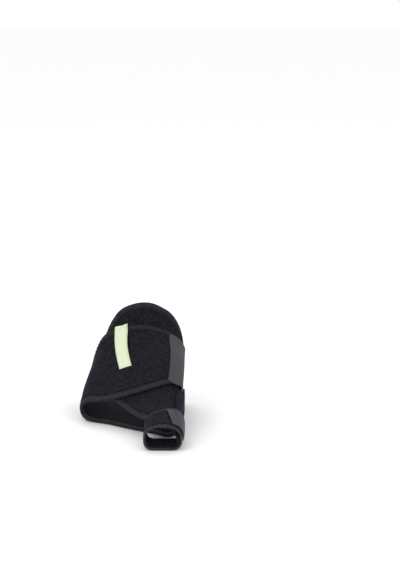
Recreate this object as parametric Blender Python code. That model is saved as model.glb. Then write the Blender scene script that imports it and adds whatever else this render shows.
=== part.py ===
"""Bunion corrector for a right foot, at rest on its flat sole.

A padded wrap goes round the ball and instep of the foot. Its body runs from the
tongue on the instep over the medial side and under the sole. The flap is sewn on
at the sole's lateral edge, crosses over the instep and holds with a hook tab. A
pocket along the medial side carries the pull on the big toe, and a strap closed
with a second hook tab goes round toe and pocket.

+Z is up, -Y is towards the toes, +X is the medial side. Sizes are in millimetres
up to the last step, which writes metres.
"""

from collections import namedtuple

import bmesh
import bpy
import numpy as np

MM = 0.001

# Room for the foot
WRAP_LENGTH = 165.0  # from the toe strap's front edge to the sole's rear edge
TOE_REACH = 110.0  # from the origin forward to the toe strap's front edge
BALL_WIDTH = 90.0  # room for the foot at the ball
INSTEP_HEIGHT = 80.0  # room for the foot where the flap ends on the instep
SOLE_CORNER = 12.0  # how far the round corners of the sole reach
SKEW = 0.15  # how far a section runs back for each millimetre towards the lateral side

# Cloth and trim
FABRIC = 3.0  # pile fabric on foam
LAYER_GAP = 0.6  # between two layers that lie on each other
SEAM_GAP = 0.3  # between two pieces that are sewn to each other
TAPE = 0.4  # binding tape, on each face of the fabric
TAPE_GAP = 0.3  # between the tape and the fabric that it grips
TAPE_WIDTH = 6.5  # how far the wrap's binding reaches in from the edge
HOOK_TAPE = 1.0  # hook tabs
LABEL_CLOTH = 0.5
LABEL_WIDTH = 12.5
LABEL_LENGTH = 52.5
LABEL_OVERHANG = 1.2  # past the flap's rear edge

# Medial pocket
POCKET = 2.0  # thickness
POCKET_LOW = 6.5  # from the floor up to the pocket's lower edge

# Toe strap
STRAP = 2.0  # thickness
STRAP_WIDTH = 32.0  # along the toe
STRAP_TAPE_WIDTH = 4.5  # how far the strap's binding reaches in from the edge
STRAP_LEFT = 12.8  # from the origin to the strap's inner face beside the second toe
STRAP_CORNER = 8.0  # how far the strap's lower corners reach
STRAP_GAP = 0.5  # to what the strap goes round
TOE_HEIGHT = 19.0  # room for the toe at the strap's front edge

ROUND_STEPS = 60  # mesh steps round the foot
STRAP_STEPS = 40  # mesh steps round the toe
LENGTH_STEPS = 11  # mesh steps along each layer of the wrap
STRAP_LENGTH_STEPS = 2  # mesh steps along the strap
TRIM_STEPS = 8  # mesh steps along the tabs, the pocket and the label
ARC_STEPS = 8  # points on each rounded corner of a section
NUDGE = 0.002  # step for slopes, as a share
PLACE_STEPS = 20  # halvings that find a place by its height

# A section is a polygon with five rounded corners. Across, heights and along are
# shares of BALL_WIDTH, INSTEP_HEIGHT and WRAP_LENGTH. Lean is how far the crown
# stands in front of the sole.
Section = namedtuple(
    "Section",
    "along lean crown_x crown_z medial_x medial_z medial_sole"
    " lateral_sole lateral_x lateral_z slope_x slope_z",
)
TOE = Section(0.025, 0.00, 0.27, 0.22, 0.410, 0.17, 0.420, -0.40, -0.40, 0.10, 0.10, 0.11)
WEB = Section(0.206, 0.01, 0.33, 0.295, 0.430, 0.270, 0.430, -0.48, -0.48, 0.12, 0.08, 0.15)
BALL = Section(0.448, 0.01, 0.24, 0.46, 0.463, 0.52, 0.460, -0.52, -0.52, 0.17, -0.14, 0.32)
WAIST = Section(0.630, 0.03, 0.17, 0.70, 0.466, 0.72, 0.460, -0.52, -0.48, 0.40, -0.16, 0.57)
INSTEP = Section(0.897, 0.07, 0.07, 1.02, 0.492, 0.96, 0.455, -0.50, -0.33, 0.93, -0.13, 1.01)
ANKLE = Section(1.018, 0.11, 0.08, 1.31, 0.500, 1.22, 0.465, -0.48, -0.32, 1.20, -0.14, 1.29)
FOOT_SECTIONS = (TOE, WEB, BALL, WAIST, INSTEP, ANKLE)
CORNER_SHARE = 0.46  # how much of each edge a rounded upper corner takes

# The toe strap's sections: along is a share of STRAP_WIDTH, across from the left
# wall to the medial wall, heights from the floor to the top of the room inside.
StrapSection = namedtuple("StrapSection", "along crown_x crown_z medial_z left_z slope_x slope_z")
STRAP_SECTIONS = (
    StrapSection(0.0, 0.44, 1.05, 0.86, 0.78, 0.22, 0.96),
    StrapSection(1.0, 0.62, 1.12, 1.06, 0.73, 0.20, 0.94),
)

# Places round a section: 0 crown, 0.25 medial wall, 0.5 sole, 0.75 lateral wall.
BODY_START = -0.22  # free end of the tongue, under the flap
FLAP_SEAM = 0.62  # body and flap meet under the lateral side
FLAP_END = 1.13
RISE_START = 0.69  # the flap climbs over the tongue's free end
RISE_END = 0.77
TAB_END = 1.175
TAB_DROP = 0.025  # how far round the tab takes to come down from the flap to the body
LABEL_PLACE = (-0.062, -0.074)  # middle of the label at the flap's edge and at its end
TOE_TAB_END = 0.28

# Edges: place round the section, and along as a share of the length
Edge = namedtuple("Edge", "around along")
BODY_FRONT = (
    Edge(-0.22, 0.580),
    Edge(-0.18, 0.535),
    Edge(-0.142, 0.465),
    Edge(-0.115, 0.386),
    Edge(-0.093, 0.323),
    Edge(-0.075, 0.276),
    Edge(-0.058, 0.244),
    Edge(-0.04, 0.216),
    Edge(-0.02, 0.190),
    Edge(0.00, 0.177),
    Edge(0.10, 0.175),
    Edge(0.22, 0.180),
    Edge(0.26, 0.200),
    Edge(0.30, 0.238),
    Edge(0.34, 0.270),
    Edge(0.42, 0.33),
    Edge(0.50, 0.38),
    Edge(0.62, 0.46),
)
BODY_REAR = (
    Edge(-0.22, 0.850),
    Edge(-0.14, 0.885),
    Edge(-0.10, 0.928),
    Edge(-0.07, 0.976),
    Edge(-0.03, 1.003),
    Edge(0.02, 1.013),
    Edge(0.06, 0.995),
    Edge(0.10, 0.975),
    Edge(0.16, 0.965),
    Edge(0.25, 0.955),
    Edge(0.36, 0.970),
    Edge(0.50, 1.000),
    Edge(0.62, 0.990),
)
FLAP_FRONT = (
    Edge(0.62, 0.460),
    Edge(0.70, 0.490),
    Edge(0.75, 0.505),
    Edge(0.785, 0.485),
    Edge(0.82, 0.456),
    Edge(0.87, 0.443),
    Edge(0.97, 0.442),
    Edge(1.06, 0.448),
    Edge(1.13, 0.460),
)
FLAP_REAR = (
    Edge(0.62, 0.990),
    Edge(0.70, 0.960),
    Edge(0.78, 0.910),
    Edge(0.84, 0.885),
    Edge(0.90, 0.882),
    Edge(0.96, 0.893),
    Edge(1.02, 0.897),
    Edge(1.06, 0.884),
    Edge(1.13, 0.850),
)
TAB_FRONT = (Edge(1.09, 0.468), Edge(1.11, 0.442), Edge(1.14, 0.458), Edge(1.175, 0.500))
TAB_REAR = (Edge(1.07, 0.850), Edge(1.11, 0.855), Edge(1.14, 0.845), Edge(1.175, 0.820))
STRAP_FRONT = (Edge(0.0, 0.0), Edge(1.0, 0.0))
STRAP_REAR = (Edge(0.0, 1.0), Edge(1.0, 1.0))

# Upper sides of the trim: along as a share of the length, and place round the section
Side = namedtuple("Side", "along upper")
POCKET_UPPER = (
    Side(0.035, 0.165),
    Side(0.120, 0.168),
    Side(0.205, 0.173),
    Side(0.240, 0.128),
    Side(0.280, 0.115),
    Side(0.340, 0.121),
    Side(0.400, 0.124),
    Side(0.430, 0.134),
    Side(0.475, 0.190),
    Side(0.550, 0.215),
    Side(0.750, 0.250),
)
TAB_UPPER = (
    Side(0.440, 1.090),
    Side(0.525, 1.087),
    Side(0.610, 1.083),
    Side(0.710, 1.080),
    Side(0.850, 1.077),
)
TOE_TAB_UPPER = (Side(0.155, 0.092), Side(0.87, 0.0))


def smooth(x, knots, values):
    """A smooth curve through the values, straight on past both ends."""
    knots = np.asarray(knots, float)
    values = np.asarray(values, float)
    slopes = np.gradient(values, knots, axis=0)
    i = int(np.clip(np.searchsorted(knots, x) - 1, 0, len(knots) - 2))
    step = knots[i + 1] - knots[i]
    t = (x - knots[i]) / step
    if t < 0:
        return values[0] + (x - knots[0]) * slopes[0]
    if t > 1:
        return values[-1] + (x - knots[-1]) * slopes[-1]
    hermite = (
        2 * t**3 - 3 * t**2 + 1,
        (t**3 - 2 * t**2 + t) * step,
        3 * t**2 - 2 * t**3,
        (t**3 - t**2) * step,
    )
    ends = (values[i], slopes[i], values[i + 1], slopes[i + 1])
    return sum(weight * end for weight, end in zip(hermite, ends))


def read_row(table, x):
    """One row of a table at any place along it, without its first column."""
    return smooth(x, [row[0] for row in table], [row[1:] for row in table])


def ease(x, start, end):
    """0 before start, 1 after end, and an even curve between."""
    t = np.clip((x - start) / (end - start), 0, 1)
    return t * t * (3 - 2 * t)


def along_edge(edge, around):
    return float(read_row(edge, around)[0])


def foot_corners(along):
    """The six corners of a section of the foot's room, and how far its crown leans."""
    lean, cx, cz, mx, mz, ms, ls, lx, lz, sx, sz = read_row(FOOT_SECTIONS, along)
    corners = np.array([(cx, cz), (mx, mz), (ms, 0), (ls, 0), (lx, lz), (sx, sz)])
    corners *= BALL_WIDTH, INSTEP_HEIGHT
    corners[2:4, 1] = FABRIC
    return corners, lean * WRAP_LENGTH


def strap_corners(along):
    """The same for the toe strap, which goes round toe, wrap and pocket."""
    foot = foot_corners(along * STRAP_WIDTH / WRAP_LENGTH)[0]
    right = foot[2, 0] + FABRIC + LAYER_GAP + POCKET + STRAP_GAP
    rear_height = foot_corners(STRAP_WIDTH / WRAP_LENGTH)[0][0, 1] + FABRIC + STRAP_GAP - STRAP
    width = right - STRAP_LEFT
    height = TOE_HEIGHT + (rear_height - TOE_HEIGHT) * along
    cx, cz, mz, lz, sx, sz = read_row(STRAP_SECTIONS, along)
    corners = np.array([(cx, cz), (1, mz), (1, 0), (0, 0), (0, lz), (sx, sz)])
    return corners * (width, height) + (STRAP_LEFT, STRAP), 0.0


class Form:
    """The room that a tube of cloth leaves, as a surface over (around, along)."""

    def __init__(self, corners, length, corner_reach, skew):
        self.corners = corners
        self.length = length
        self.corner_reach = corner_reach
        self.skew = skew
        self.outlines = {}

    def outline(self, along):
        """One section: its points, where each lies round it, and its lean."""
        if along in self.outlines:
            return self.outlines[along]
        corners, lean = self.corners(along)
        points, anchors = [], []
        for i, corner in enumerate(corners):
            after = corners[(i + 1) % len(corners)]
            arc = self.arc(corners[i - 1], corner, after, i in (2, 3))
            if i == 0:
                half = len(arc) // 2
                first, points = arc[: half + 1], list(arc[half:])
                continue
            if i in (2, 3, 4):
                anchors.append(len(points))
                points.append((points[-1] + arc[0]) / 2)
            points.extend(arc)
        points = np.array(points + list(first))
        steps = np.linalg.norm(np.diff(points, axis=0), axis=1)
        run = np.concatenate([[0], np.cumsum(steps)])
        quarters = run[[0] + anchors + [len(points) - 1]]
        around = np.interp(run, quarters, [0, 0.25, 0.5, 0.75, 1])
        climb = lean / (corners[0, 1] - corners[2, 1])
        self.outlines[along] = points, around, climb, corners[2, 1]
        return self.outlines[along]

    def arc(self, before, corner, after, at_sole):
        """A rounded corner, as a parabola between a point on each edge."""
        ends = []
        for other in (before, after):
            edge = other - corner
            length = np.linalg.norm(edge)
            reach = CORNER_SHARE * length
            if at_sole:
                reach = min(self.corner_reach, reach)
            ends.append(corner + edge / length * reach)
        t = np.linspace(0, 1, ARC_STEPS + 1)[:, None]
        return (1 - t) ** 2 * ends[0] + 2 * t * (1 - t) * corner + t**2 * ends[1]

    def room(self, around, along):
        """A point on the surface itself."""
        points, places, climb, floor = self.outline(along)
        around = around % 1
        x = np.interp(around, places, points[:, 0])
        z = np.interp(around, places, points[:, 1])
        y = self.length * along - TOE_REACH - self.skew * x - climb * (z - floor)
        return np.array([x, y, z])

    def slopes(self, around, along):
        across = self.room(around + NUDGE, along) - self.room(around - NUDGE, along)
        onward = self.room(around, along + NUDGE) - self.room(around, along - NUDGE)
        return across / (2 * NUDGE), onward / (2 * NUDGE)

    def around_at(self, height, along, off):
        """The place on the lower medial side where a layer's underside is this high."""
        high, low = 0.20, 0.45
        for _ in range(PLACE_STEPS):
            middle = (high + low) / 2
            if self.point(middle, along, off)[2] > height:
                high = middle
            else:
                low = middle
        return low

    def point(self, around, along, off):
        """A point that stands off the surface by this distance."""
        normal = np.cross(*self.slopes(around, along))
        return self.room(around, along) + normal / np.linalg.norm(normal) * off


def make_material(name, colour, roughness):
    material = bpy.data.materials.new(name)
    material.use_nodes = True
    shader = material.node_tree.nodes["Principled BSDF"]
    shader.inputs["Base Color"].default_value = (*colour, 1)
    shader.inputs["Roughness"].default_value = roughness
    shader.inputs["Metallic"].default_value = 0
    return material


def make_object(name, rings, closed, material):
    """A solid from rings of points: closed in a loop, or with a cap on each end.

    A cap is a strip between the first half of the ring and the second.
    """
    mesh = bmesh.new()
    rows = [[mesh.verts.new(np.array(p) * MM) for p in ring] for ring in rings]
    pairs = list(zip(rows, rows[1:]))
    if closed:
        pairs.append((rows[-1], rows[0]))
    for one, other in pairs:
        for i in range(len(one)):
            mesh.faces.new((one[i - 1], one[i], other[i], other[i - 1]))
    if not closed:
        for row in (rows[0], rows[-1]):
            for i in range(len(row) // 2 - 1):
                mesh.faces.new((row[i], row[i + 1], row[-2 - i], row[-1 - i]))
    bmesh.ops.triangulate(mesh, faces=mesh.faces)
    bmesh.ops.recalc_face_normals(mesh, faces=mesh.faces)
    data = bpy.data.meshes.new(name)
    mesh.to_mesh(data)
    mesh.free()
    data.materials.append(material)
    data.shade_smooth()
    data.set_sharp_from_angle(angle=0.6)
    piece = bpy.data.objects.new(name, data)
    bpy.context.collection.objects.link(piece)
    return piece


def places_round(start, end, steps):
    """Mesh places that all layers share, so that they keep their gap."""
    grid = np.arange(np.ceil(start * steps), np.floor(end * steps) + 1) / steps
    least = 0.25 / steps
    return [start, *(p for p in grid if start + least < p < end - least), end]


def stretch(form, edge, around):
    """Share of the length for each millimetre square to an edge."""
    across, onward = (np.linalg.norm(s) for s in form.slopes(around, along_edge(edge, around)))
    rise = along_edge(edge, around + NUDGE) - along_edge(edge, around - NUDGE)
    slant = rise / (2 * NUDGE) * onward / across
    return np.hypot(1, slant) / onward


def cloth_ring(form, around, front, rear, level, tape_width, steps):
    """The outline of a bound layer at one place round the foot."""
    low, high = level
    start, end = along_edge(front, around), along_edge(rear, around)
    ahead, behind = stretch(form, front, around), stretch(form, rear, around)
    lip = TAPE + TAPE_GAP
    start_lip, end_lip = start + lip * ahead, end - lip * behind
    start_full, end_full = start + tape_width * ahead, end - tape_width * behind
    middle = list(np.linspace(start_full, end_full, steps + 1))
    places = [(start_lip, high - lip), (start_full, high - lip)]
    places += [(along, high) for along in middle]
    places += [(end_full, high - lip), (end_lip, high - lip), (end_lip, low + lip)]
    places += [(end_full, low + lip)]
    places += [(along, low) for along in reversed(middle)]
    places += [(start_full, low + lip), (start_lip, low + lip)]
    return [form.point(around, *place) for place in places]


def tape_ring(form, around, edge, inward, level, tape_width):
    """The outline of a binding at one place: a narrow U over the edge."""
    low, high = level
    unit = stretch(form, edge, around) * inward
    edge_at = along_edge(edge, around)
    inside, reach = edge_at + TAPE * unit, edge_at + (tape_width - TAPE_GAP) * unit
    places = [
        (reach, high),
        (edge_at, high),
        (edge_at, low),
        (reach, low),
        (reach, low + TAPE),
        (inside, low + TAPE),
        (inside, high - TAPE),
        (reach, high - TAPE),
    ]
    return [form.point(around, *place) for place in places]


def bound_layer(names, form, places, closed, edges, level, tape_width, steps, materials):
    """A layer of cloth, with a binding on its front and on its rear edge."""
    cloth, tape = materials
    name, front_name, rear_name = names
    front, rear = edges
    rings = [cloth_ring(form, p, front, rear, level(p), tape_width, steps) for p in places]
    make_object(name, rings, closed, cloth)
    rings = [tape_ring(form, p, front, 1, level(p), tape_width) for p in places]
    make_object(front_name, rings, closed, tape)
    rings = [tape_ring(form, p, rear, -1, level(p), tape_width) for p in places]
    make_object(rear_name, rings, closed, tape)


def slab(name, form, rows, material):
    """A thin solid: rows of places (around, along, underside, thickness)."""
    rings = []
    for row in rows:
        ring = [form.point(around, along, low + thick) for around, along, low, thick in row]
        ring += [form.point(around, along, low) for around, along, low, _ in reversed(row)]
        rings.append(ring)
    return make_object(name, rings, False, material)


def body_level(around):
    return 0.0, FABRIC


def flap_level(around):
    low = (FABRIC + LAYER_GAP) * ease(around, RISE_START, RISE_END)
    return low, low + FABRIC


def strap_level(around):
    return 0.0, STRAP


def tab_underside(around):
    """The tab lies on the flap's end, and past it comes down to the body."""
    on_flap = 2 * FABRIC + LAYER_GAP + SEAM_GAP
    return on_flap - (FABRIC + LAYER_GAP) * ease(around, FLAP_END, FLAP_END + TAB_DROP)


def make_pocket(foot, cloth):
    """A flat sleeve along the medial side, sewn on the body, out to the toe."""
    low = FABRIC + LAYER_GAP
    rows = []
    for along in np.linspace(POCKET_UPPER[0].along, POCKET_UPPER[-1].along, 3 * TRIM_STEPS + 1):
        upper = read_row(POCKET_UPPER, along)[0]
        lower = foot.around_at(POCKET_LOW, along, low)
        rows.append([(a, along, low, POCKET) for a in np.linspace(upper, lower, TRIM_STEPS + 1)])
    slab("medial_pocket", foot, rows, cloth)


def make_instep_tab(foot, hook):
    """The hook tape on the flap's end, which closes the wrap on the medial side."""
    rows = []
    for share in np.linspace(0, 1, TRIM_STEPS + 1):
        row = []
        for step in np.linspace(0, 1, TRIM_STEPS + 1):
            along = TAB_UPPER[0].along + share * (TAB_UPPER[-1].along - TAB_UPPER[0].along)
            upper = read_row(TAB_UPPER, along)[0]
            around = upper + step * (TAB_END - upper)
            front, rear = along_edge(TAB_FRONT, around), along_edge(TAB_REAR, around)
            row.append((around, front + share * (rear - front), tab_underside(around), HOOK_TAPE))
        rows.append(row)
    slab("instep_tab", foot, rows, hook)


def make_label(foot, label):
    """A strip of woven label on the flap, sewn over its rear edge."""
    level = 2 * FABRIC + LAYER_GAP + SEAM_GAP
    start, end = LABEL_PLACE
    edge_at = along_edge(FLAP_REAR, 1 + start)
    across, onward = (np.linalg.norm(s) for s in foot.slopes(start, edge_at))
    first = edge_at + LABEL_OVERHANG / onward
    rows = []
    along = first
    for share in np.linspace(0, 1, TRIM_STEPS + 1):
        middle = start + share * (end - start)
        across, onward = (np.linalg.norm(s) for s in foot.slopes(middle, along))
        half = LABEL_WIDTH / 2 / across
        around = (middle - half, middle, middle + half)
        rows.append([(a, along, level, LABEL_CLOTH) for a in around])
        along -= LABEL_LENGTH / TRIM_STEPS / onward
    slab("label", foot, rows, label)


def make_toe_tab(strap, hook):
    """The hook tape that closes the toe strap over the pocket."""
    rows = []
    for along in np.linspace(TOE_TAB_UPPER[0].along, TOE_TAB_UPPER[-1].along, TRIM_STEPS + 1):
        upper = read_row(TOE_TAB_UPPER, along)[0]
        around = np.linspace(upper, TOE_TAB_END, TRIM_STEPS + 4)
        rows.append([(a, along, STRAP + LAYER_GAP, HOOK_TAPE) for a in around])
    slab("toe_tab", strap, rows, hook)


def main():
    for thing in list(bpy.data.objects):
        bpy.data.objects.remove(thing)
    cloth = make_material("pile fabric", (0.017, 0.016, 0.022), 0.95)
    tape = make_material("binding tape", (0.030, 0.029, 0.040), 0.80)
    hook = make_material("hook tape", (0.075, 0.074, 0.085), 0.70)
    label = make_material("woven label", (0.75, 0.87, 0.60), 0.75)

    foot = Form(foot_corners, WRAP_LENGTH, SOLE_CORNER, SKEW)
    seam = SEAM_GAP / 2 / np.linalg.norm(foot.slopes(FLAP_SEAM, FLAP_REAR[0].along)[0])
    bound_layer(
        ("wrap_body", "body_front_binding", "body_rear_binding"),
        foot,
        places_round(BODY_START, FLAP_SEAM - seam, ROUND_STEPS),
        False,
        (BODY_FRONT, BODY_REAR),
        body_level,
        TAPE_WIDTH,
        LENGTH_STEPS,
        (cloth, tape),
    )
    bound_layer(
        ("instep_flap", "flap_front_binding", "flap_rear_binding"),
        foot,
        places_round(FLAP_SEAM + seam, FLAP_END, ROUND_STEPS),
        False,
        (FLAP_FRONT, FLAP_REAR),
        flap_level,
        TAPE_WIDTH,
        LENGTH_STEPS,
        (cloth, tape),
    )
    make_pocket(foot, cloth)
    make_instep_tab(foot, hook)
    make_label(foot, label)

    strap = Form(strap_corners, STRAP_WIDTH, STRAP_CORNER, 0.0)
    bound_layer(
        ("toe_strap", "toe_front_binding", "toe_rear_binding"),
        strap,
        list(np.arange(STRAP_STEPS) / STRAP_STEPS),
        True,
        (STRAP_FRONT, STRAP_REAR),
        strap_level,
        STRAP_TAPE_WIDTH,
        STRAP_LENGTH_STEPS,
        (cloth, tape),
    )
    make_toe_tab(strap, hook)


main()
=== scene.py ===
# %% [markdown]
# # A bunion corrector in pile fabric
# The brace is a soft wrap for a right foot. It is cut from black pile fabric on foam,
# edged with stretch tape, and closed with two dark grey hook tabs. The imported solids
# give the place and size of each piece. This lesson rebuilds every piece on the same
# surface with finer forms, seams, stitches and cloth finishes.

import bmesh
import bpy
import numpy as np
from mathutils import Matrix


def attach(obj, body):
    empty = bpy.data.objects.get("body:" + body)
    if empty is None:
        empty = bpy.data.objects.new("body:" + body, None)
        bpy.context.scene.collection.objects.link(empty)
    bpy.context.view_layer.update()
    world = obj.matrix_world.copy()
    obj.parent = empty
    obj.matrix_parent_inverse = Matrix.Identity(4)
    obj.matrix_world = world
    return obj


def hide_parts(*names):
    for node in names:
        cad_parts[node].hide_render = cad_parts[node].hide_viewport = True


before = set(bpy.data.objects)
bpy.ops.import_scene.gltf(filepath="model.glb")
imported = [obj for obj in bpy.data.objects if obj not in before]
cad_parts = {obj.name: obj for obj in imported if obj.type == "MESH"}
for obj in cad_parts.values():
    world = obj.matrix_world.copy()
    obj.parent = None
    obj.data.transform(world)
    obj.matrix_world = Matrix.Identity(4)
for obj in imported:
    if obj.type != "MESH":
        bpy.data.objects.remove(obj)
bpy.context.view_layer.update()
MM = 0.001
print("solids:", len(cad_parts))

# %% [markdown]
# ## Sizes
# All sizes are in millimetres until a mesh is written. They are the sizes that the
# solids were made with, because a finer piece has to fit where its solid is. One
# table holds six sections across the foot, as shares of three lengths, and a second
# holds two sections of the toe strap.

# %% Sizes of the wrap and the strap
WRAP_LENGTH = 165.0
TOE_REACH = 110.0
BALL_WIDTH = 90.0
INSTEP_HEIGHT = 80.0
FABRIC = 3.0
LAYER_GAP = 0.6
SEAM_GAP = 0.3
TAPE = 0.4
TAPE_WIDTH = 6.5
HOOK_TAPE = 1.0
POCKET = 2.0
STRAP = 2.0
STRAP_WIDTH = 32.0
STRAP_TAPE_WIDTH = 4.5
STRAP_LEFT = 12.8
STRAP_GAP = 0.5
TOE_HEIGHT = 19.0
CORNER_SHARE = 0.46

# %% Sections across the foot and the toe
# along lean | crown x z | medial x z | sole medial lateral | lateral x z | slope x z
FOOT_SECTIONS = (
    (0.025, 0.00, 0.27, 0.22, 0.410, 0.17, 0.420, -0.40, -0.40, 0.10, 0.10, 0.11),
    (0.206, 0.01, 0.33, 0.295, 0.430, 0.270, 0.430, -0.48, -0.48, 0.12, 0.08, 0.15),
    (0.448, 0.01, 0.24, 0.46, 0.463, 0.52, 0.460, -0.52, -0.52, 0.17, -0.14, 0.32),
    (0.630, 0.03, 0.17, 0.70, 0.466, 0.72, 0.460, -0.52, -0.48, 0.40, -0.16, 0.57),
    (0.897, 0.07, 0.07, 1.02, 0.492, 0.96, 0.455, -0.50, -0.33, 0.93, -0.13, 1.01),
    (1.018, 0.11, 0.08, 1.31, 0.500, 1.22, 0.465, -0.48, -0.32, 1.20, -0.14, 1.29),
)
# along | crown x z | medial z | left z | slope x z
STRAP_SECTIONS = (
    (0.0, 0.44, 1.05, 0.86, 0.78, 0.22, 0.96),
    (1.0, 0.62, 1.12, 1.06, 0.73, 0.20, 0.94),
)

# %% [markdown]
# ## Edges
# A place on the wrap has two numbers. Around is 0 on the crown of the foot, 0.25 on
# the medial side, 0.5 under the sole and 0.75 on the lateral side. Along is a share
# of the length. An edge of cloth is a short table from one to the other, and a smooth
# curve joins its rows.

# %% Edges of the cloth
BODY_FRONT = (
    (-0.22, 0.580), (-0.18, 0.535), (-0.142, 0.465), (-0.115, 0.386), (-0.093, 0.323),
    (-0.075, 0.276), (-0.058, 0.244), (-0.04, 0.216), (-0.02, 0.190), (0.00, 0.177),
    (0.10, 0.175), (0.22, 0.180), (0.26, 0.200), (0.30, 0.238), (0.34, 0.270),
    (0.42, 0.33), (0.50, 0.38), (0.62, 0.46),
)
BODY_REAR = (
    (-0.22, 0.850), (-0.14, 0.885), (-0.10, 0.928), (-0.07, 0.976), (-0.03, 1.003),
    (0.02, 1.013), (0.06, 0.995), (0.10, 0.975), (0.16, 0.965), (0.25, 0.955),
    (0.36, 0.970), (0.50, 1.000), (0.62, 0.990),
)
FLAP_FRONT = (
    (0.62, 0.460), (0.70, 0.490), (0.75, 0.505), (0.785, 0.485), (0.82, 0.456),
    (0.87, 0.443), (0.97, 0.442), (1.06, 0.448), (1.13, 0.460),
)
FLAP_REAR = (
    (0.62, 0.990), (0.70, 0.960), (0.78, 0.910), (0.84, 0.885), (0.90, 0.882),
    (0.96, 0.893), (1.02, 0.897), (1.06, 0.884), (1.13, 0.850),
)
TAB_FRONT = ((1.09, 0.468), (1.11, 0.442), (1.14, 0.458), (1.175, 0.500))
TAB_REAR = ((1.07, 0.850), (1.11, 0.855), (1.14, 0.845), (1.175, 0.820))
STRAP_FRONT = ((0.0, 0.0), (1.0, 0.0))
STRAP_REAR = ((0.0, 1.0), (1.0, 1.0))
# along, and place round the section
POCKET_UPPER = (
    (0.035, 0.165), (0.120, 0.168), (0.205, 0.173), (0.240, 0.128), (0.280, 0.115),
    (0.340, 0.121), (0.400, 0.124), (0.430, 0.134), (0.475, 0.190), (0.550, 0.215),
    (0.750, 0.250),
)
TAB_UPPER = ((0.44, 1.090), (0.525, 1.087), (0.61, 1.083), (0.71, 1.080), (0.85, 1.077))
TOE_TAB_UPPER = ((0.155, 0.092), (0.87, 0.0))

BODY_START, FLAP_SEAM, FLAP_END = -0.22, 0.62, 1.13
RISE_START, RISE_END = 0.69, 0.77
TAB_END, TAB_DROP, TOE_TAB_END = 1.175, 0.025, 0.28


# %% A smooth curve through a table
def curve(table, x):
    """The table's columns at each x, straight on past both ends."""
    table, x = np.array(table, float), np.asarray(x, float)
    knots, values = table[:, 0], table[:, 1:]
    slopes = np.gradient(values, knots, axis=0)
    i = np.clip(np.searchsorted(knots, x) - 1, 0, len(knots) - 2)
    step = (knots[i + 1] - knots[i])[..., None]
    whole = (x - knots[i])[..., None] / step
    t = np.clip(whole, 0, 1)
    found = (2 * t**3 - 3 * t**2 + 1) * values[i] + (t**3 - 2 * t**2 + t) * step * slopes[i]
    found += (3 * t**2 - 2 * t**3) * values[i + 1] + (t**3 - t**2) * step * slopes[i + 1]
    return found + (whole - t) * step * np.where(whole < 0, slopes[i], slopes[i + 1])


def edge_at(table, around):
    return curve(table, around)[..., 0]


def ease(x, start, end):
    t = np.clip((x - start) / (end - start), 0, 1)
    return t * t * (3 - 2 * t)


print("tongue's tip lies at", round(float(edge_at(BODY_REAR, 0.02)), 3), "of the length")

# %% [markdown]
# ## The surface under the cloth
# Each section is a polygon whose corners are rounded by parabolas. Sections at many
# places make one grid of points, and a look-up between the grid's points gives any
# place quickly. A piece of cloth stands off this surface by a few millimetres, along
# the surface's normal, so layers that share it keep the same gap everywhere.

# %% Sections of the surface
ARC = np.linspace(0, 1, 41)[:, None]


def rounded(corners, corner_reach):
    """A section's outline from the crown round to the crown, and where each point lies."""
    points, anchors = [], []
    for i, corner in enumerate(corners):
        ends = []
        for other in (corners[i - 1], corners[(i + 1) % len(corners)]):
            length = np.linalg.norm(other - corner)
            reach = CORNER_SHARE * length
            if i in (2, 3):
                reach = min(corner_reach, reach)
            ends.append(corner + (other - corner) / length * reach)
        arc = (1 - ARC) ** 2 * ends[0] + 2 * ARC * (1 - ARC) * corner + ARC**2 * ends[1]
        if i == 0:
            first, points = arc[: len(arc) // 2 + 1], list(arc[len(arc) // 2 :])
            continue
        if i in (2, 3, 4):
            anchors.append(len(points))
            points.append((points[-1] + arc[0]) / 2)
        points.extend(arc)
    points = np.array(points + list(first))
    run = np.append(0, np.cumsum(np.linalg.norm(np.diff(points, axis=0), axis=1)))
    quarters = run[[0, *anchors, len(points) - 1]]
    return points, np.interp(run, quarters, [0, 0.25, 0.5, 0.75, 1])


def foot_corners(along):
    lean, cx, cz, mx, mz, ms, ls, lx, lz, sx, sz = curve(FOOT_SECTIONS, along)
    corners = np.array([(cx, cz), (mx, mz), (ms, 0), (ls, 0), (lx, lz), (sx, sz)])
    corners *= BALL_WIDTH, INSTEP_HEIGHT
    corners[2:4, 1] = FABRIC
    return corners, lean * WRAP_LENGTH


def strap_corners(along):
    foot = foot_corners(along * STRAP_WIDTH / WRAP_LENGTH)[0]
    right = foot[2, 0] + FABRIC + LAYER_GAP + POCKET + STRAP_GAP
    rear = foot_corners(STRAP_WIDTH / WRAP_LENGTH)[0][0, 1] + FABRIC + STRAP_GAP - STRAP
    height = TOE_HEIGHT + (rear - TOE_HEIGHT) * along
    cx, cz, mz, lz, sx, sz = curve(STRAP_SECTIONS, along)
    corners = np.array([(cx, cz), (1, mz), (1, 0), (0, 0), (0, lz), (sx, sz)])
    return corners * (right - STRAP_LEFT, height) + (STRAP_LEFT, STRAP), 0.0


# %% The surface as a grid
ROUND, NUDGE = 720, 0.002


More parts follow.
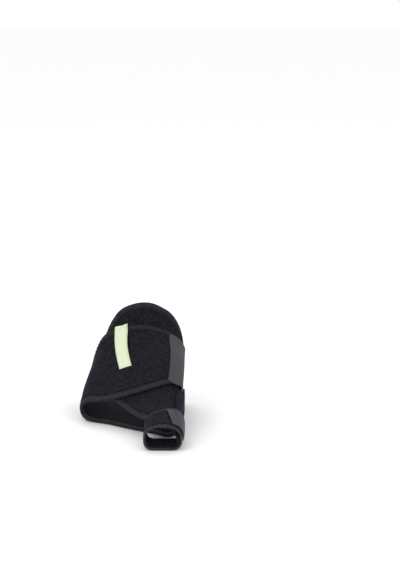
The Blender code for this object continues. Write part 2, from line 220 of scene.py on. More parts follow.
class Surface:
    """Points, normals and paces of one tube, over (around, along)."""

    def __init__(self, corners, length, corner_reach, skew, lowest, highest, rows, drape):
        self.span, self.drape = (lowest, highest, rows), drape
        places, grid = np.arange(ROUND) / ROUND, []
        for along in np.linspace(lowest, highest, rows):
            section, lean = corners(along)
            points, around = rounded(section, corner_reach)
            x, z = (np.interp(places, around, points[:, k]) for k in (0, 1))
            floor = section[2, 1]
            climb = lean / (section[0, 1] - floor)
            y = length * along - TOE_REACH - skew * x - climb * (z - floor)
            grid.append(np.stack([x, y, z], 1))
        self.points = np.array(grid)
        across = (np.roll(self.points, -1, 1) - np.roll(self.points, 1, 1)) * ROUND / 2
        onward = np.gradient(self.points, (highest - lowest) / (rows - 1), axis=0)
        normals = np.cross(across, onward)
        self.normals = normals / np.linalg.norm(normals, axis=2, keepdims=True)
        self.paces = np.stack([np.linalg.norm(s, axis=2) for s in (across, onward)], 2)

    def look_up(self, table, around, along):
        lowest, highest, rows = self.span
        around, along = np.broadcast_arrays(around, along)
        c = (around % 1) * ROUND
        r = np.clip((along - lowest) / (highest - lowest) * (rows - 1), 0, rows - 1.001)
        c0, r0 = c.astype(int) % ROUND, r.astype(int)
        c1, fc, fr = (c0 + 1) % ROUND, (c % 1)[..., None], (r - r0)[..., None]
        near = table[r0, c0] * (1 - fc) + table[r0, c1] * fc
        far = table[r0 + 1, c0] * (1 - fc) + table[r0 + 1, c1] * fc
        return near * (1 - fr) + far * fr

    def point(self, around, along, off):
        """Points that stand off the surface, with the cloth's own soft swell."""
        at = self.look_up(self.points, around, along)
        normal = self.look_up(self.normals, around, along)
        normal /= np.linalg.norm(normal, axis=-1, keepdims=True)
        lift = off + self.drape(around, along) * ease(at[..., 2], 6.0, 22.0)
        place = at + normal * lift[..., None]
        place[..., 2] = np.maximum(place[..., 2], 0)
        return place

    def square(self, table, around):
        """Where an edge is, and the share of the length for a millimetre square to it."""
        at = edge_at(table, around)
        paces = self.look_up(self.paces, around, at)
        rise = (edge_at(table, around + NUDGE) - edge_at(table, around - NUDGE)) / (2 * NUDGE)
        return at, np.hypot(1, rise * paces[..., 1] / paces[..., 0]) / paces[..., 1]


# %% [markdown]
# ## Soft swells
# Cloth on a foot is never quite even. It stands a little proud over the toe joint,
# sinks beside it and draws in where the closed flap pulls towards its tab. A few
# wide and low swells, each a rounded hill, are enough, and all layers share them.

# %% Swells of the cloth
# around, along, half width round, half width along, height in millimetres
SWELLS = (
    (0.020, 0.330, 0.050, 0.090, 0.7),
    (-0.060, 0.400, 0.030, 0.080, -0.4),
    (0.930, 0.640, 0.030, 0.160, 0.6),
    (0.995, 0.700, 0.035, 0.120, -0.5),
    (1.045, 0.560, 0.028, 0.110, 0.5),
    (0.860, 0.800, 0.030, 0.060, -0.4),
    (0.800, 0.600, 0.030, 0.080, 0.5),
    (0.180, 0.600, 0.040, 0.120, 0.6),
    (0.190, 0.860, 0.040, 0.060, -0.5),
)


def foot_drape(around, along):
    lift = 0
    for at, on, wide, long, height in SWELLS:
        away = (np.asarray(around) - at + 0.5) % 1 - 0.5
        lift = lift + height * np.exp(-((away / wide) ** 2) - ((along - on) / long) ** 2)
    return lift


def strap_drape(around, along):
    return 0.12 * np.sin(18 * np.asarray(around) + 5 * along)


foot = Surface(foot_corners, WRAP_LENGTH, 12.0, 0.15, -0.02, 1.10, 340, foot_drape)
strap = Surface(strap_corners, STRAP_WIDTH, 8.0, 0.0, -0.06, 1.06, 90, strap_drape)
print("foot grid", foot.points.shape, "strap grid", strap.points.shape)

# %% [markdown]
# ## Finishes
# A finish is built from nodes. One helper adds a node with its settings and its
# links, and one turns a colour as a screen shows it into the linear light that
# Blender works in. Coordinates are the object's own, in metres, or the cloth's own
# flat coordinates where a weave has to follow an edge.


# %% Node and colour helpers
def linear(code):
    """A hex colour as linear light."""
    levels = [int(code[i : i + 2], 16) / 255 for i in (0, 2, 4)]
    return (*[v / 12.92 if v <= 0.04045 else ((v + 0.055) / 1.055) ** 2.4 for v in levels], 1)


def add(tree, kind, inputs=None, **settings):
    """A node with its settings. An input is a value or another node's output."""
    node = tree.nodes.new(kind)
    for key, value in settings.items():
        setattr(node, key, value)
    for key, value in (inputs or {}).items():
        if isinstance(value, bpy.types.NodeSocket):
            tree.links.new(value, node.inputs[key])
        else:
            node.inputs[key].default_value = value
    return node


def noise(tree, vector, size, detail):
    """A noise whose lumps are about this many metres wide."""
    return add(tree, "ShaderNodeTexNoise", {"Vector": vector, "Scale": 1 / size, "Detail": detail})


def wave(tree, vector, period, direction, **more):
    """Bands that repeat at twice this many metres."""
    scale = np.pi / period / 20
    return add(
        tree, "ShaderNodeTexWave",
        {"Vector": vector, "Scale": scale, **more}, bands_direction=direction,
    )


def bump(tree, height, strength, distance, **more):
    """Relief of this many millimetres."""
    inputs = {"Height": height, "Strength": strength, "Distance": distance * MM, **more}
    return add(tree, "ShaderNodeBump", inputs)


def finish(name, roughness, shine, sheen, sheen_roughness, sheen_tint):
    """An empty finish: its tree, its shader and its coordinates."""
    material = bpy.data.materials.new(name)
    material.use_nodes = True
    tree = material.node_tree
    shader = tree.nodes["Principled BSDF"]
    shader.inputs["Roughness"].default_value = roughness
    shader.inputs["Specular IOR Level"].default_value = shine
    shader.inputs["Sheen Weight"].default_value = sheen
    shader.inputs["Sheen Roughness"].default_value = sheen_roughness
    shader.inputs["Sheen Tint"].default_value = sheen_tint
    return material, tree, shader, add(tree, "ShaderNodeTexCoord")


# %% [markdown]
# ### Brushed pile
# The outer face is a knitted loop pile, brushed until the loops stand up as a short
# black nap that hook tape can grip. It has no shine, a faint blue cast, and a soft
# mottle where the nap leans this way and that. Two noises give the mottle and a fine
# one gives the nap. The nap's real scale is under half a millimetre, and it is drawn
# a little coarser so that it shows.

# %% Brushed pile
MOTTLE, NAP = 2.6 * MM, 0.55 * MM
pile, tree, shader, coords = finish("brushed pile", 0.95, 0.1, 0.04, 0.6, linear("8a88a0"))
mottle = noise(tree, coords.outputs["Object"], MOTTLE, 4.0)
nap = noise(tree, coords.outputs["Object"], NAP, 2.0)
blend = add(
    tree, "ShaderNodeMath",
    {0: mottle.outputs[0], 1: nap.outputs[0]}, operation="ADD",
)
spread = add(
    tree, "ShaderNodeMapRange",
    {"Value": blend.outputs[0], "From Min": 0.78, "From Max": 1.22},
)
tone = add(
    tree, "ShaderNodeMix",
    {0: spread.outputs[0], 6: linear("09090d"), 7: linear("24232c")}, data_type="RGBA",
)
tree.links.new(tone.outputs[2], shader.inputs["Base Color"])
low_bump = bump(tree, mottle.outputs[0], 0.5, 0.35)
nap_bump = bump(tree, nap.outputs[0], 0.8, 0.25, Normal=low_bump.outputs[0])
tree.links.new(nap_bump.outputs[0], shader.inputs["Normal"])

# %% [markdown]
# ### Stretch tape
# The edges are bound with a knitted nylon tape. Fine ribs run along it, it is smoother
# than the pile and catches a little more light, so it reads as a grey rim. Ribs follow
# the tape's flat coordinates, where the first counts metres across it and the second
# metres along it. The toe strap has a narrower tape, a shade lighter.

# %% Stretch tape
RIB, WEAR = 0.45 * MM, 3.0 * MM


def stretch_tape(name, dark, light):
    """A ribbed tape between two tones."""
    material, tree, shader, coords = finish(name, 0.75, 0.2, 0.06, 0.5, linear("9a98ac"))
    ribs = wave(tree, coords.outputs["UV"], RIB, "X", Distortion=0.6, Detail=2.0)
    wear = noise(tree, coords.outputs["Object"], WEAR, 3.0)
    shade = add(
        tree, "ShaderNodeMath",
        {0: ribs.outputs[0], 1: 0.3, 2: wear.outputs[0]}, operation="MULTIPLY_ADD",
    )
    spread = add(
        tree, "ShaderNodeMapRange",
        {"Value": shade.outputs[0], "From Min": 0.4, "From Max": 0.9},
    )
    tone = add(
        tree, "ShaderNodeMix",
        {0: spread.outputs[0], 6: linear(dark), 7: linear(light)}, data_type="RGBA",
    )
    tree.links.new(tone.outputs[2], shader.inputs["Base Color"])
    rib_bump = bump(tree, ribs.outputs[0], 0.8, 0.2)
    tree.links.new(rib_bump.outputs[0], shader.inputs["Normal"])
    return material


tape = stretch_tape("stretch tape", "17161b", "2c2b33")
narrow_tape = stretch_tape("narrow tape", "201f25", "38373f")

# %% [markdown]
# ### Hook tape
# The tabs are woven nylon with rows of tiny stiff hooks on the hidden side. The side
# that shows is a close grey weave, smoother and lighter than the pile, with faint
# streaks along the tape where the threads differ.

# %% Hook tape
THREAD, STREAK = 0.55 * MM, 1.6 * MM
hook, tree, shader, coords = finish("hook tape", 0.7, 0.25, 0.03, 0.5, linear("b0aeb8"))
streak_place = add(
    tree, "ShaderNodeMapping",
    {"Vector": coords.outputs["UV"], "Scale": (1, 0.12, 1)},
)
streaks = noise(tree, streak_place.outputs[0], STREAK, 4.0)
spread = add(
    tree, "ShaderNodeMapRange",
    {"Value": streaks.outputs[0], "From Min": 0.2, "From Max": 0.8},
)
tone = add(
    tree, "ShaderNodeMix",
    {0: spread.outputs[0], 6: linear("36353a"), 7: linear("444349")}, data_type="RGBA",
)
tree.links.new(tone.outputs[2], shader.inputs["Base Color"])
warp = wave(tree, coords.outputs["UV"], THREAD, "X")
weft = wave(tree, coords.outputs["UV"], THREAD, "Y")
weave = add(tree, "ShaderNodeMath", {0: warp.outputs[0], 1: weft.outputs[0]}, operation="MULTIPLY")
weave_bump = bump(tree, weave.outputs[0], 0.6, 0.15)
tree.links.new(weave_bump.outputs[0], shader.inputs["Normal"])

# %% [markdown]
# ### Satin label
# The label is a narrow polyester satin, pale green, with a dense selvedge down each
# side. It carries no words. The weave is drawn as fine ribs across the strip, and the
# selvedge as two slightly deeper lines.

# %% Satin label
LABEL_WIDTH, LABEL_LENGTH, LABEL_CLOTH = 12.5, 52.5, 0.5
PICK, SELVEDGE, SELVEDGE_BLUR = 0.6 * MM, 1.2, 0.3
label_cloth, tree, shader, coords = finish("satin label", 0.55, 0.3, 0.05, 0.3, linear("ffffff"))
picks = wave(tree, coords.outputs["UV"], PICK, "Y")
parts = add(tree, "ShaderNodeSeparateXYZ", {0: coords.outputs["UV"]})
half = LABEL_WIDTH / 2
middle = add(tree, "ShaderNodeMath", {0: parts.outputs[0], 1: half * MM}, operation="SUBTRACT")
away = add(tree, "ShaderNodeMath", {0: middle.outputs[0]}, operation="ABSOLUTE")
selvedge = add(
    tree, "ShaderNodeMapRange",
    {
        "Value": away.outputs[0],
        "From Min": (half - SELVEDGE) * MM,
        "From Max": (half - SELVEDGE + SELVEDGE_BLUR) * MM,
    },
)
tone = add(
    tree, "ShaderNodeMix",
    {0: selvedge.outputs[0], 6: linear("d5dec1"), 7: linear("c4cfa9")}, data_type="RGBA",
)
tree.links.new(tone.outputs[2], shader.inputs["Base Color"])
pick_bump = bump(tree, picks.outputs[0], 0.4, 0.08)
tree.links.new(pick_bump.outputs[0], shader.inputs["Normal"])

# %% Sewing thread
thread, tree, shader, coords = finish("sewing thread", 0.6, 0.2, 0.05, 0.3, linear("8a88a0"))
shader.inputs["Base Color"].default_value = linear("08080a")
pale_thread, tree, shader, coords = finish("pale thread", 0.6, 0.3, 0.05, 0.3, linear("ffffff"))
shader.inputs["Base Color"].default_value = linear("aab58e")
print("finishes:", [m.name for m in bpy.data.materials if m.use_nodes])

# %% [markdown]
# ## Cloth as a swept ring
# A bound layer has the same make-up everywhere: two faces, two rounded rims, and tape
# over each rim. So the cross-section is drawn once as a closed ring of points, and it
# is swept round the foot. The cloth thins under its tape and swells just beside it,
# which gives the soft crease along a sewn edge.


# %% Mesh from rings
def outward(mesh):
    """Turns all faces if the closed mesh is inside out."""
    mesh.calc_loop_triangles()
    co = np.array([v.co for v in mesh.vertices])
    corners = co[np.array([t.vertices for t in mesh.loop_triangles])]
    if np.linalg.det(corners).sum() < 0:
        mesh.flip_normals()


def cloth_mesh(name, rings, closed, material):
    """A closed solid swept through rings of points, with flat coordinates in metres."""
    rings = np.asarray(rings) * MM
    n, m, _ = rings.shape
    index = np.arange(n * m).reshape(n, m)
    rows = n if closed else n - 1
    here, there = index[:rows], index[(np.arange(rows) + 1) % n]
    quads = np.stack([here, np.roll(here, -1, 1), np.roll(there, -1, 1), there], 2).reshape(-1, 4)
    faces = quads.tolist()
    if not closed:
        for row in (index[0], index[-1]):
            faces += [[row[i], row[i + 1], row[-2 - i], row[-1 - i]] for i in range(m // 2 - 1)]
    data = bpy.data.meshes.new(name)
    data.from_pydata(rings.reshape(-1, 3).tolist(), [], faces)
    across = np.linalg.norm(np.diff(rings, axis=1, append=rings[:, :1]), axis=2).mean(0)
    onward = np.linalg.norm(np.diff(rings, axis=0, append=rings[:1]), axis=2).mean(1)
    u, v = (np.append(0, np.cumsum(s)) for s in (across, onward))
    i, j = np.meshgrid(np.arange(rows), np.arange(m), indexing="ij")
    flat = np.stack([u[[j, j + 1, j + 1, j]], v[[i, i, i + 1, i + 1]]], -1)
    flat = np.moveaxis(flat, 0, 2).reshape(-1, 2)
    spare = np.zeros((len(data.loops) - len(flat), 2))
    data.uv_layers.new(name="flat").data.foreach_set("uv", np.vstack([flat, spare]).ravel())
    return piece_of(name, data, material)


def piece_of(name, data, material, sharp=1.0):
    outward(data)
    data.materials.append(material)
    data.shade_smooth()
    data.set_sharp_from_angle(angle=sharp)
    piece = bpy.data.objects.new(name, data)
    bpy.context.collection.objects.link(piece)
    print(f"{name}: {len(data.polygons)} faces")
    return piece


# %% Rings of a bound layer
LIP = 0.85
PUFF = 0.35
STITCH_INSET, SEWN_WIDTH, SEWN_DEPTH = 1.2, 0.6, 0.38
TAPE_CROWN, TAPE_LIP = 0.2, 0.12
PITCH, STITCH, THREAD_SIZE = 4.2, 2.8, 0.8
STITCH_LINES = {}


def cloth_rings(surface, around, front, rear, level, tape_width):
    """Rings for the cloth: outer face from front to rear, then the inner face back."""
    low, high = (v[:, None] for v in level(around))
    start, ahead = surface.square(front, around)
    end, behind = surface.square(rear, around)
    under_tape = np.linspace(LIP, tape_width - 1.6, 4)
    near = np.append(under_tape, np.linspace(tape_width - 1.2, tape_width + 5, 16))
    ahead_at = start[:, None] + near * ahead[:, None]
    behind_at = end[:, None] - near[::-1] * behind[:, None]
    share = np.linspace(0, 1, 62)[1:-1]
    middle = ahead_at[:, -1:] + share * (behind_at[:, :1] - ahead_at[:, -1:])
    along = np.hstack([ahead_at, middle, behind_at])
    from_front = (along - start[:, None]) / ahead[:, None]
    reach = np.minimum(from_front, (end[:, None] - along) / behind[:, None])
    edge_line = surface.look_up(surface.points, around, start)
    run = np.append(0, np.cumsum(np.linalg.norm(np.diff(edge_line, axis=0), axis=1)))[:, None]
    pinch = 0.5 + 0.5 * np.cos(2 * np.pi * run / PITCH)
    thin = LIP * (1 - ease(reach, tape_width - 0.9 + 0.8 * pinch, tape_width + 1.0 + 1.6 * pinch))
    swell = (PUFF - 0.15 * pinch) * np.exp(-(((reach - tape_width - 2.6) / 1.8) ** 2))
    outer = surface.point(around[:, None], along, high - thin + swell)
    inner = surface.point(around[:, None], along, low + thin)
    return np.concatenate([outer, inner[:, ::-1]], axis=1)


def tape_rings(surface, around, edge, inward, level, tape_width):
    """Rings for a tape folded over an edge: its outer face, then its inner face back."""
    low, high = (v[:, None] for v in level(around))
    radius = (high - low) / 2
    at, share = surface.square(edge, around)
    flat = np.linspace(1, 0, 15)
    turn = np.linspace(90, -90, 11)[1:-1] * np.pi / 180
    reach = tape_width - 0.3 - radius
    from_sewing = (flat * reach - reach + STITCH_INSET) / SEWN_WIDTH
    bulge = TAPE_CROWN * np.sin(np.pi * flat) - SEWN_DEPTH * np.exp(-(from_sewing**2))
    bulge = bulge - TAPE_LIP * ease(flat, 0.92, 1.0)
    face, back = radius + flat * reach, radius + flat[::-1] * reach
    out_s = np.hstack([face, radius - radius * np.cos(turn), back])
    out_h = np.hstack([radius + bulge, radius * np.sin(turn), -radius - bulge[:, ::-1] * 0.5])
    thin = radius - TAPE
    in_s = np.hstack([face, radius - thin * np.cos(turn), back])
    in_h = np.hstack([thin + bulge, thin * np.sin(turn), -thin - bulge[:, ::-1] * 0.5])
    s, h = np.hstack([out_s, in_s[:, ::-1]]), np.hstack([out_h, in_h[:, ::-1]])
    along = at[:, None] + inward * s * share[:, None]
    return surface.point(around[:, None], along, low + radius + h)


def stitch_line(group, surface, around, edge, inward, inset, off):
    """A line of sewing beside an edge, kept for the stitches."""
    at, share = surface.square(edge, around)
    line = surface.point(around, at + inward * inset * share, off)
    line[:, 2] = np.maximum(line[:, 2], THREAD_SIZE / 2 + 0.03)
    STITCH_LINES.setdefault(group, []).append(line)


def bound_layer(names, surface, around, closed, edges, level, tape_width, edging, group):
    """A layer of cloth with tape on its front and rear edges, and the tape's sewing."""
    front, rear = edges
    rings = cloth_rings(surface, around, front, rear, level, tape_width)
    cloth = cloth_mesh(names[0], rings, closed, pile)
    tapes = []
    low, high = level(around)
    for name, edge, inward in zip(names[1:], edges, (1, -1)):
        rings = tape_rings(surface, around, edge, inward, level, tape_width)
        tapes.append(cloth_mesh(name, rings, closed, edging))
        for off in (high - 0.05, low + 0.05):
            stitch_line(group, surface, around, edge, inward, tape_width - 0.3 - STITCH_INSET, off)
    return cloth, *tapes


# %% [markdown]
# ## Wrap and flap
# The body starts as a tongue under the flap, goes over the instep and down the medial
# side, and passes under the sole. The flap is sewn on at the sole's lateral edge. It
# climbs by one layer where it meets the tongue, because there it lies on the body.


# %% Wrap body and instep flap
def body_level(around):
    return np.zeros_like(around), np.full_like(around, FABRIC)


def flap_level(around):
    low = (FABRIC + LAYER_GAP) * ease(around, RISE_START, RISE_END)
    return low, low + FABRIC


def strap_level(around):
    return np.zeros_like(around), np.full_like(around, STRAP)


SEAM = 0.0007
body_places = np.linspace(BODY_START, FLAP_SEAM - SEAM, 420)
flap_places = np.linspace(FLAP_SEAM + SEAM, FLAP_END, 270)
body = bound_layer(
    ("wrap_cloth", "body_front_tape", "body_rear_tape"),
    foot, body_places, False, (BODY_FRONT, BODY_REAR), body_level,
    TAPE_WIDTH, tape, "wrap_stitches",
)
flap = bound_layer(
    ("flap_cloth", "flap_front_tape", "flap_rear_tape"),
    foot, flap_places, False, (FLAP_FRONT, FLAP_REAR), flap_level,
    TAPE_WIDTH, tape, "flap_stitches",
)

# %% [markdown]
# The flap's rear tape has a second row of sewing at its outer edge, and one across its
# end, just before the hook tab.

# %% Second row on the flap's rear tape
second = flap_places[flap_places > RISE_END]
stitch_line("flap_stitches", foot, second, FLAP_REAR, -1, 1.7, flap_level(second)[1])
TAPE_STOP, TAPE_STOP_LENGTH = 1.066, 6.0
stop_at, stop_share = foot.square(FLAP_REAR, np.array([TAPE_STOP]))
stop_along = stop_at - np.linspace(0.8, TAPE_STOP_LENGTH, 12) * stop_share
stop_line = foot.point(np.full(12, TAPE_STOP), stop_along, np.full(12, 2 * FABRIC + LAYER_GAP))
STITCH_LINES["flap_stitches"].append(stop_line)

# %% [markdown]
# ## Toe strap
# The strap is a thinner strip of the same cloth, closed into a ring round the big toe
# and the end of the pocket. Its places come back to the first one, so the ring has no
# seam of its own: the hook tab covers the place where a real one overlaps.

# %% Toe strap
ring_places = np.arange(200) / 200
ring = bound_layer(
    ("toe_strap_cloth", "toe_front_tape", "toe_rear_tape"),
    strap, ring_places, True, (STRAP_FRONT, STRAP_REAR), strap_level,
    STRAP_TAPE_WIDTH, narrow_tape, "toe_stitches",
)

# %% [markdown]
# ## Flat pieces
# Pocket, tabs and label are flat cuts that follow the surface. Each is a grid of
# places with a top and an underside that meet in a rounded rim. Points crowd towards
# the rim, where the form turns quickly, and thin out in the middle.


# %% A flat cut with a rounded rim
def crowded(count):
    """Shares from 0 to 1, closer together near both ends."""
    t = np.linspace(0, 1, count)
    even = (1 - np.cos(np.pi * t)) / 2
    return (even + (1 - np.cos(np.pi * even)) / 2) / 2


def flat_cut(name, surface, around, along, low, thick, material, groove=None, puff=0.0):
    """A thin piece over a grid of places. Rows run with the first index."""
    mid = surface.point(around, along, low + thick / 2)
    u = np.insert(np.cumsum(np.linalg.norm(np.diff(mid, axis=1), axis=2).mean(0)), 0, 0)
    v = np.insert(np.cumsum(np.linalg.norm(np.diff(mid, axis=0), axis=2).mean(1)), 0, 0)
    rim = np.minimum(np.minimum(u, u[-1] - u)[None, :], np.minimum(v, v[-1] - v)[:, None])
    radius = thick / 2
    near = 1 - np.clip(rim / radius, 0, 1)
    drop = radius * (1 - np.sqrt(np.clip(1 - near**2, 0, 1)))
    top = low + thick - drop + puff * ease(rim, 1.5, 5.0)
    if groove is not None:
        top = top - groove(u[None, :], v[:, None], rim)
    upper, under = surface.point(around, along, top), surface.point(around, along, low + drop)
    n, m = rim.shape
    mesh = bmesh.new()
    flat = mesh.loops.layers.uv.new("flat")
    for side in (upper, under):
        verts = [[mesh.verts.new(p * MM) for p in row] for row in side]
        for i in range(n - 1):
            for j in range(m - 1):
                corners = ((i, j), (i, j + 1), (i + 1, j + 1), (i + 1, j))
                order = corners if side is upper else corners[::-1]
                face = mesh.faces.new([verts[a][b] for a, b in order])
                for loop, (a, b) in zip(face.loops, order):
                    loop[flat].uv = u[b] * MM, v[a] * MM
    bmesh.ops.remove_doubles(mesh, verts=mesh.verts, dist=0.002 * MM)
    bmesh.ops.recalc_face_normals(mesh, faces=mesh.faces)
    data = bpy.data.meshes.new(name)
    mesh.to_mesh(data)
    mesh.free()
    return piece_of(name, data, material)


# %% [markdown]
# ### Medial pocket
# A long flat sleeve along the medial side takes the pull that brings the toe in
# line. It is sewn down all round, about two millimetres inside its edge, so it swells
# between its seams and has a shallow groove along them.


# %% Medial pocket
def seam_groove(inset, depth, width=0.6):
    return lambda u, v, rim: depth * np.exp(-(((rim - inset) / width) ** 2))


def pocket_lower(along):
    """The place on the lower medial side that is POCKET_LOW above the floor."""
    low, places = FABRIC + LAYER_GAP, np.linspace(0.20, 0.45, 400)
    heights = foot.point(places[None, :], along[:, None], np.full((1, 1), low))[..., 2]
    return np.array([np.interp(-POCKET_LOW, -row, places) for row in heights])


POCKET_LOW, POCKET_GAP = 6.5, 0.4
POCKET_SEAM, POCKET_GROOVE, POCKET_PUFF = 2.2, 0.55, 0.25
rows = POCKET_UPPER[0][0] + (POCKET_UPPER[-1][0] - POCKET_UPPER[0][0]) * crowded(110)
upper, lower = edge_at(POCKET_UPPER, rows), pocket_lower(rows)
around = upper[:, None] + (lower - upper)[:, None] * crowded(40)
pocket = flat_cut(
    "pocket_cloth", foot, around, np.broadcast_to(rows[:, None], around.shape),
    FABRIC + POCKET_GAP, POCKET + LAYER_GAP - POCKET_GAP, pile,
    seam_groove(POCKET_SEAM, POCKET_GROOVE), POCKET_PUFF,
)
inset_upper = upper + POCKET_SEAM / foot.look_up(foot.paces, upper, rows)[:, 0]
inset_lower = lower - POCKET_SEAM / foot.look_up(foot.paces, lower, rows)[:, 0]
seam_rows = slice(8, -8)
SEAM_LEVEL = FABRIC + LAYER_GAP + POCKET - 0.35
for line in (inset_upper, inset_lower):
    level = np.full(len(rows[seam_rows]), SEAM_LEVEL)
    points = foot.point(line[seam_rows], rows[seam_rows], level)
    STITCH_LINES.setdefault("pocket_stitches", []).append(points)


# %% [markdown]
# ### Instep tab
# The tab is hook tape sewn over the end of the flap. It lies on the flap at first and
# then steps down to the body, where it grips the pile. One line of sewing runs down
# it, a few millimetres from its free edge on the flap.


# %% Instep tab
TAB_SEAM, TAB_GROOVE, THREAD_SUNK = 5.6, 0.3, 0.25


def tab_low(around):
    on_flap = 2 * FABRIC + LAYER_GAP + SEAM_GAP
    return on_flap - (FABRIC + LAYER_GAP) * ease(around, FLAP_END, FLAP_END + TAB_DROP)


def line_groove(inset, depth):
    return lambda u, v, rim: depth * np.exp(-(((u - inset) / 0.55) ** 2))


shares = crowded(80)[:, None]
on_upper = TAB_UPPER[0][0] + shares * (TAB_UPPER[-1][0] - TAB_UPPER[0][0])
upper = edge_at(TAB_UPPER, on_upper)
around = upper + crowded(46) * (TAB_END - upper)
front, rear = edge_at(TAB_FRONT, around), edge_at(TAB_REAR, around)
along = front + shares * (rear - front)
instep_tab = flat_cut(
    "instep_hook_tab", foot, around, along, tab_low(around), HOOK_TAPE, hook,
    line_groove(TAB_SEAM, TAB_GROOVE),
)
sewn = upper + TAB_SEAM / foot.look_up(foot.paces, upper, along[:, :1])[..., :1][:, :, 0]
sewn_front, sewn_rear = edge_at(TAB_FRONT, sewn), edge_at(TAB_REAR, sewn)
run = sewn_front + shares * (sewn_rear - sewn_front)
keep = slice(6, -6)
line = foot.point(
    sewn[keep, 0], run[keep, 0],
    tab_low(sewn[keep, 0]) + HOOK_TAPE - THREAD_SUNK,
)
STITCH_LINES.setdefault("tab_stitches", []).append(line)

# %% [markdown]
# ### Toe tab
# The toe strap closes with a smaller piece of the same hook tape. It starts on top of
# the strap and goes down over the pocket.

# %% Toe tab
TOE_TAB_SEAM = 6.0
rows = TOE_TAB_UPPER[0][0] + (TOE_TAB_UPPER[-1][0] - TOE_TAB_UPPER[0][0]) * crowded(50)
upper = edge_at(TOE_TAB_UPPER, rows)
around = upper[:, None] + (TOE_TAB_END - upper)[:, None] * crowded(44)
toe_tab = flat_cut(
    "toe_hook_tab", strap, around, np.broadcast_to(rows[:, None], around.shape),
    STRAP + LAYER_GAP, HOOK_TAPE, hook, line_groove(TOE_TAB_SEAM, TAB_GROOVE),
)
sewn = upper + TOE_TAB_SEAM / strap.look_up(strap.paces, upper, rows)[:, 0]
keep = slice(5, -5)
level = np.full(len(rows[keep]), STRAP + LAYER_GAP + HOOK_TAPE - THREAD_SUNK)
line = strap.point(sewn[keep], rows[keep], level)
STITCH_LINES["tab_stitches"].append(line)

# %% [markdown]
# ### Label
# The label is sewn down at the flap's rear edge and laid towards the toes. It bows a
# little, and its medial side lifts off the flap, which throws a thin dark shadow.

# %% Label strip
LABEL_PLACE = (-0.062, -0.074)
LABEL_OVERHANG, LABEL_BOW, LABEL_LIFT, LABEL_CURL = 1.2, 1.5, 1.5, 3.2
steps = 70
places = []
along = None
for share in np.linspace(0, 1, steps + 1):
    middle = LABEL_PLACE[0] + share * (LABEL_PLACE[1] - LABEL_PLACE[0])
    if along is None:
        at = float(edge_at(FLAP_REAR, 1 + middle))
        along = at + LABEL_OVERHANG / foot.look_up(foot.paces, middle, at)[1]
    across, onward = foot.look_up(foot.paces, middle, along)
    middle -= LABEL_BOW * np.sin(np.pi * share) / across
    places.append((middle, along, LABEL_WIDTH / across))
    along -= LABEL_LENGTH / steps / onward
middle, along, wide = np.array(places).T
side = crowded(26) - 0.5
around = middle[:, None] + side * wide[:, None]
level = 2 * FABRIC + LAYER_GAP + SEAM_GAP + 0.1
share = np.linspace(0, 1, steps + 1)[:, None]
lift = LABEL_LIFT * ease(side, 0.1, 0.5) * np.sin(np.pi * share)
lift = lift + LABEL_CURL * ease(side, 0.0, 0.5) * ease(-share, -0.16, 0.0)
label = flat_cut(
    "label_strip", foot, around, np.broadcast_to(along[:, None], around.shape),
    level + lift, LABEL_CLOTH, label_cloth,
)
for row in (4, -4):
    inner = around[row, 6:-6]
    on_top = (level + lift)[row, 6:-6] + LABEL_CLOTH
    line = foot.point(inner, np.full(len(inner), along[row]), on_top)
    STITCH_LINES.setdefault("label_stitches", []).append(line)

# %% [markdown]
# ## Stitches
# A stitch is a short thread that dips into the cloth at both ends. Hundreds of
# them follow the seams, so Geometry Nodes lay them: the seam is a line, points are
# set along it at the stitch length, and each gets a small rounded thread turned to
# the line. Named inputs hold the pitch, the length and the thickness.

# %% The stitch tree
stitches = bpy.data.node_groups.new("stitch row", "GeometryNodeTree")
SOCKETS = (
    ("Seam", "Geometry"),
    ("Pitch", "Float"),
    ("Length", "Float"),
    ("Thread", "Float"),
    ("Finish", "Material"),
)
for socket, kind in SOCKETS:
    stitches.interface.new_socket(name=socket, in_out="INPUT", socket_type="NodeSocket" + kind)
stitches.interface.new_socket(name="Stitches", in_out="OUTPUT", socket_type="NodeSocketGeometry")
given = add(stitches, "NodeGroupInput")
path = add(stitches, "GeometryNodeMeshToCurve", {"Mesh": given.outputs["Seam"]})
evenly = add(
    stitches, "GeometryNodeCurveToPoints",
    {"Curve": path.outputs[0], "Length": given.outputs["Pitch"]}, mode="LENGTH",
)
bead = add(stitches, "GeometryNodeMeshUVSphere", {"Segments": 6, "Rings": 6, "Radius": 0.5})
size = add(
    stitches, "ShaderNodeCombineXYZ",
    {0: given.outputs["Thread"], 1: given.outputs["Thread"], 2: given.outputs["Length"]},
)
thread_bead = add(
    stitches, "GeometryNodeTransform",
    {"Geometry": bead.outputs[0], "Scale": size.outputs[0]},
)
turned = add(
    stitches, "FunctionNodeAlignRotationToVector",
    {"Vector": evenly.outputs["Tangent"]}, axis="Z",
)
laid = add(
    stitches, "GeometryNodeInstanceOnPoints",
    {
        "Points": evenly.outputs["Points"],
        "Instance": thread_bead.outputs[0],
        "Rotation": turned.outputs[0],
    },
)
real = add(stitches, "GeometryNodeRealizeInstances", {"Geometry": laid.outputs[0]})
coloured = add(
    stitches, "GeometryNodeSetMaterial",
    {"Geometry": real.outputs[0], "Material": given.outputs["Finish"]},
)
add(stitches, "NodeGroupOutput", {0: coloured.outputs[0]})


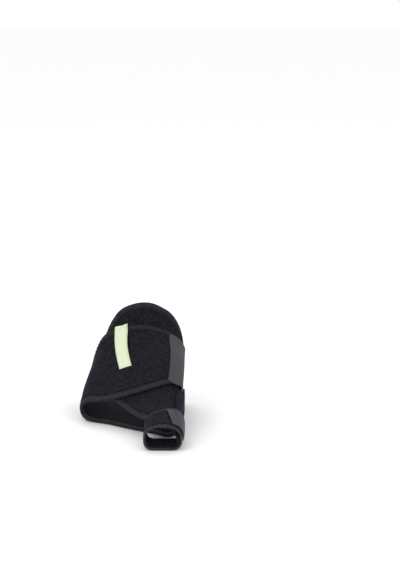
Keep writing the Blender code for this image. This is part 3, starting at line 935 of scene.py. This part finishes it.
# %% Sew each group
def sew(name, lines, pitch, length, thickness, material):
    """Lays stitches along seam lines and keeps them as a plain mesh."""
    points, edges = [], []
    for line in lines:
        first = len(points)
        points += (np.asarray(line) * MM).tolist()
        edges += [(first + i, first + i + 1) for i in range(len(line) - 1)]
    data = bpy.data.meshes.new(name + "_seam")
    data.from_pydata(points, edges, [])
    seam = bpy.data.objects.new(name, data)
    bpy.context.collection.objects.link(seam)
    laying = seam.modifiers.new("stitch row", "NODES")
    laying.node_group = stitches
    values = {"Pitch": pitch * MM, "Length": length * MM, "Thread": thickness * MM}
    values["Finish"] = material
    for item in stitches.interface.items_tree:
        if item.name in values:
            laying[item.identifier] = values[item.name]
    graph = bpy.context.evaluated_depsgraph_get()
    made = bpy.data.meshes.new_from_object(seam.evaluated_get(graph))
    seam.modifiers.clear()
    seam.data = made
    made.shade_smooth()
    print(f"{name}: {len(made.polygons)} faces")
    return seam


sewn_pieces = {
    name: sew(name, lines, PITCH, STITCH, THREAD_SIZE, thread)
    for name, lines in STITCH_LINES.items()
    if name != "label_stitches"
}
LABEL_PITCH, LABEL_STITCH, LABEL_THREAD = 1.9, 1.4, 0.3
sewn_pieces["label_stitches"] = sew(
    "label_stitches", STITCH_LINES["label_stitches"],
    LABEL_PITCH, LABEL_STITCH, LABEL_THREAD, pale_thread,
)

# %% [markdown]
# ## Pieces and bodies
# The brace has no joints, so every piece rides on the one body. Each dressed piece
# stands for its solid, and that solid is hidden.

# %% Ride and replace
STANDS_FOR = (
    (body[0], "wrap_body", "pile_fabric"),
    (body[1], "body_front_binding", "binding_tape"),
    (body[2], "body_rear_binding", "binding_tape"),
    (flap[0], "instep_flap", "pile_fabric"),
    (flap[1], "flap_front_binding", "binding_tape"),
    (flap[2], "flap_rear_binding", "binding_tape"),
    (ring[0], "toe_strap", "pile_fabric"),
    (ring[1], "toe_front_binding", "binding_tape"),
    (ring[2], "toe_rear_binding", "binding_tape"),
    (pocket, "medial_pocket", "pile_fabric"),
    (instep_tab, "instep_tab", "hook_tape"),
    (toe_tab, "toe_tab", "hook_tape"),
    (label, "label", "woven_label"),
)
for piece, node, slot in STANDS_FOR:
    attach(piece, "root")
    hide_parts(node)
for name, piece in sewn_pieces.items():
    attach(piece, "root")

# %% [markdown]
# ## Floor, light and camera
# The brace stands on a plain pale floor in soft studio light, as in a product photo.
# A wide light above and in front gives the cloth its faint sheen, and the camera is
# at the photo's angle, with a long lens.

# %% Floor and light
floor_mesh = bpy.data.meshes.new("floor")
FLOOR = 6.0
corners = [(x * FLOOR, y * FLOOR, 0) for x, y in ((-1, -1), (1, -1), (1, 1), (-1, 1))]
floor_mesh.from_pydata(corners, [], [(0, 1, 2, 3)])
floor = bpy.data.objects.new("floor", floor_mesh)
bpy.context.collection.objects.link(floor)
floor_finish = bpy.data.materials.new("pale floor")
floor_finish.use_nodes = True
floor_shader = floor_finish.node_tree.nodes["Principled BSDF"]
floor_shader.inputs["Base Color"].default_value = linear("fcfcfc")
floor_shader.inputs["Roughness"].default_value = 0.9
floor_mesh.materials.append(floor_finish)

world = bpy.data.worlds.new("studio")
bpy.context.scene.world = world
world.use_nodes = True
world.node_tree.nodes["Background"].inputs["Color"].default_value = (1, 1, 1, 1)
world.node_tree.nodes["Background"].inputs["Strength"].default_value = 1.0

# name, place in metres, width in metres, watts
LAMPS = (
    ("key light", (-0.9, -1.1, 1.5), 1.2, 6.0),
    ("fill light", (1.2, -0.8, 0.9), 1.0, 2.0),
    ("rim light", (-0.3, 1.1, 1.3), 0.9, 3.0),
)
AIM = (0, 0, 0.04)
for name, place, width, watts in LAMPS:
    lamp = bpy.data.lights.new(name, "AREA")
    lamp.size, lamp.energy = width, watts
    lamp_object = bpy.data.objects.new(name, lamp)
    lamp_object.location = place
    aim = np.array(AIM) - np.array(place)
    tilt = np.arctan2(np.hypot(*aim[:2]), -aim[2])
    lamp_object.rotation_euler = (tilt, 0, np.arctan2(-aim[0], aim[1]))
    bpy.context.collection.objects.link(lamp_object)

# %% Camera
CAMERA_PLACE, CAMERA_DOWN, LENS = (0.0619, -1.5437, 0.4658), 12.313, 105.26
camera = bpy.data.cameras.new("camera")
camera.sensor_fit = "VERTICAL"
camera.sensor_height = 36.0
camera.lens = LENS
camera_object = bpy.data.objects.new("camera", camera)
camera_object.location = CAMERA_PLACE
camera_object.rotation_euler = (np.radians(90 - CAMERA_DOWN), 0, 0)
bpy.context.collection.objects.link(camera_object)
bpy.context.scene.camera = camera_object
bpy.context.scene.view_settings.view_transform = "Standard"
